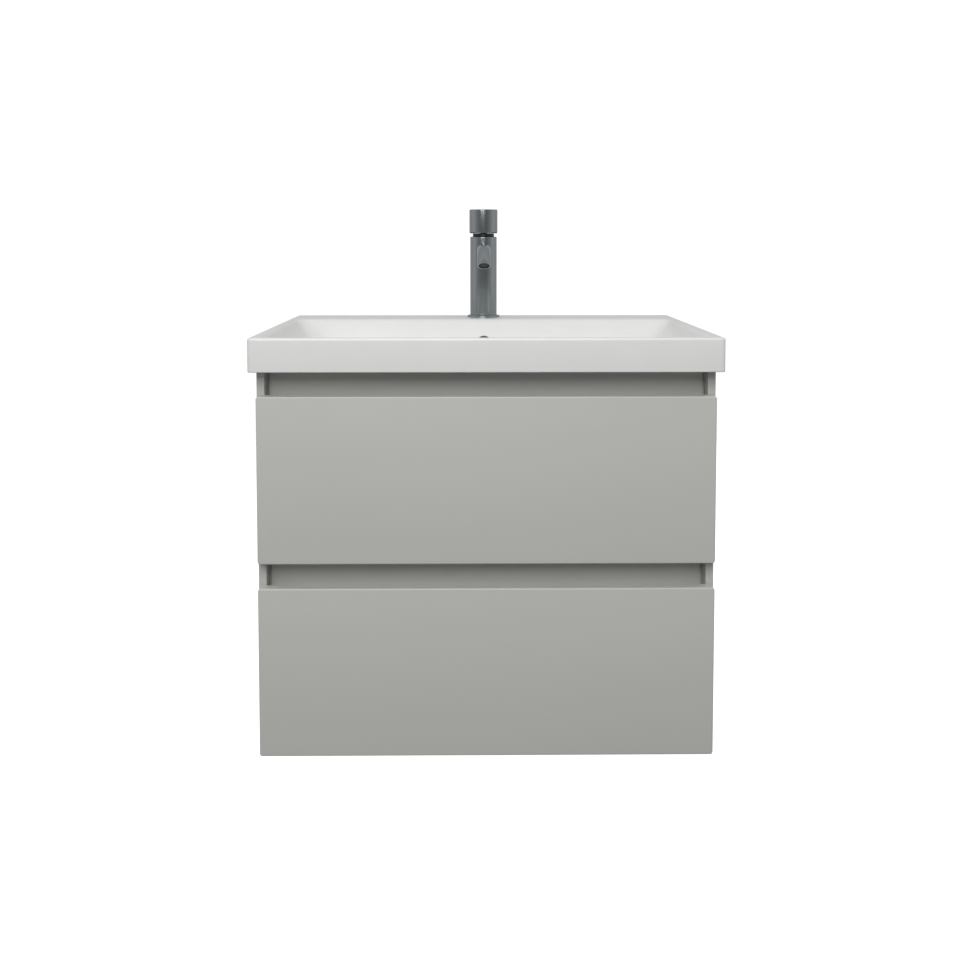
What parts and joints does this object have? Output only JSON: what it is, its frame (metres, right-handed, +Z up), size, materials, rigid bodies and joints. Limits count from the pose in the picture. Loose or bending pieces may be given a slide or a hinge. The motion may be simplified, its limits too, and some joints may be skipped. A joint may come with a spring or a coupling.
{
  "type": "bathroom vanity cabinet",
  "caption": "Wall-hung vanity: grip-channel drawers on full-extension runners under a full-width ceramic basin with a round mixer tap, push waste and bottle trap.",
  "frame": {"origin": "on the wall plane, at the centre of the four wall-fixing holes", "axes": "+X to the right seen from the front, +Y into the wall, +Z up; the drawers open towards -Y"},
  "size_m": [0.61, 0.515, 0.7203],
  "materials": {
    "lacquered_front": "matt lacquered board with a fine even surface",
    "carcass_board": "melamine-faced chipboard, matt",
    "channel_coating": "powder-coated matt",
    "drawer_board": "melamine-faced chipboard, light",
    "glazed_ceramic": "glossy white glaze",
    "gunmetal_plating": "dark plated brass, polished",
    "dark_brass": "blackened, satin",
    "aerator_plastic": "black moulded insert",
    "zinc_plated_steel": "zinc plated",
    "zinc_die_casting": "die cast, bright",
    "beech_dowel": "plain turned",
    "trap_plastic": "white moulded",
    "cartridge_plastic": "moulded",
    "nut_brass": "machined",
    "black_rubber": "moulded"
  },
  "bodies": {
    "root": {"side_left": "carcass_board", "side_right": "carcass_board", "bottom_panel": "carcass_board", "rear_rail_upper": "carcass_board", "rear_rail_lower": "carcass_board", "grip_channel_upper": "channel_coating", "grip_channel_middle": "channel_coating", "channel_brackets": "zinc_plated_steel", "carcass_dowels": "beech_dowel", "cam_bolts": "zinc_plated_steel", "cam_housings": "zinc_die_casting", "hanger_left": "zinc_plated_steel", "hanger_right": "zinc_plated_steel", "hanger_screws": "zinc_plated_steel", "wall_plates": "zinc_plated_steel", "basin": "glazed_ceramic", "waste_body": "gunmetal_plating", "waste_seal": "black_rubber", "waste_backnut": "nut_brass", "trap_inlet_nut": "trap_plastic", "trap_body": "trap_plastic", "trap_cup": "trap_plastic", "trap_outlet_nut": "trap_plastic", "trap_outlet_pipe": "trap_plastic", "trap_seals": "black_rubber", "wall_escutcheon": "trap_plastic", "tap_body": "gunmetal_plating", "tap_spout": "gunmetal_plating", "spout_aerator": "aerator_plastic", "tap_base_ring": "gunmetal_plating", "tap_cartridge": "cartridge_plastic", "cartridge_nut": "dark_brass", "tap_gasket": "black_rubber", "tap_washer": "zinc_plated_steel", "tap_stud": "zinc_plated_steel", "tap_stud_nut": "zinc_plated_steel", "upper_fixed_rails": "zinc_plated_steel", "lower_fixed_rails": "zinc_plated_steel", "runner_screws": "zinc_plated_steel"},
    "plug": {"waste_plug": "gunmetal_plating"},
    "knob": {"tap_knob": "gunmetal_plating", "cartridge_stem": "zinc_plated_steel"},
    "upper_middle": {"upper_middle_rails": "zinc_plated_steel"},
    "lower_middle": {"lower_middle_rails": "zinc_plated_steel"},
    "upper_drawer": {"upper_front": "lacquered_front", "upper_side_left": "drawer_board", "upper_side_right": "drawer_board", "upper_back": "drawer_board", "upper_bottom": "drawer_board", "upper_cutout_frame": "drawer_board", "upper_fittings": "zinc_plated_steel", "upper_drawer_rails": "zinc_plated_steel"},
    "lower_drawer": {"lower_front": "lacquered_front", "lower_side_left": "drawer_board", "lower_side_right": "drawer_board", "lower_back": "drawer_board", "lower_bottom": "drawer_board", "lower_fittings": "zinc_plated_steel", "lower_drawer_rails": "zinc_plated_steel"}
  },
  "joints": [
    {"name": "upper_drawer_slide", "type": "slide", "parent": "root", "child": "upper_drawer", "axis": [0, -1, 0], "range_m": [0, 0.37]},
    {"name": "upper_middle_slide", "type": "slide", "parent": "root", "child": "upper_middle", "axis": [0, -1, 0], "range_m": [0, 0.185]},
    {"name": "lower_drawer_slide", "type": "slide", "parent": "root", "child": "lower_drawer", "axis": [0, -1, 0], "range_m": [0, 0.37]},
    {"name": "lower_middle_slide", "type": "slide", "parent": "root", "child": "lower_middle", "axis": [0, -1, 0], "range_m": [0, 0.185]},
    {"name": "knob_turn", "type": "hinge", "parent": "root", "child": "knob", "pos_m": [0, -0.048, 0.284], "axis": [0, 0, 1], "range_deg": [0, 100]},
    {"name": "plug_lift", "type": "slide", "parent": "root", "child": "plug", "axis": [0, 0, 1], "range_m": [0, 0.009]}
  ],
  "couplings": [
    {"joint": "upper_middle_slide", "follows": "upper_drawer_slide", "ratio": 0.5},
    {"joint": "lower_middle_slide", "follows": "lower_drawer_slide", "ratio": 0.5}
  ]
}
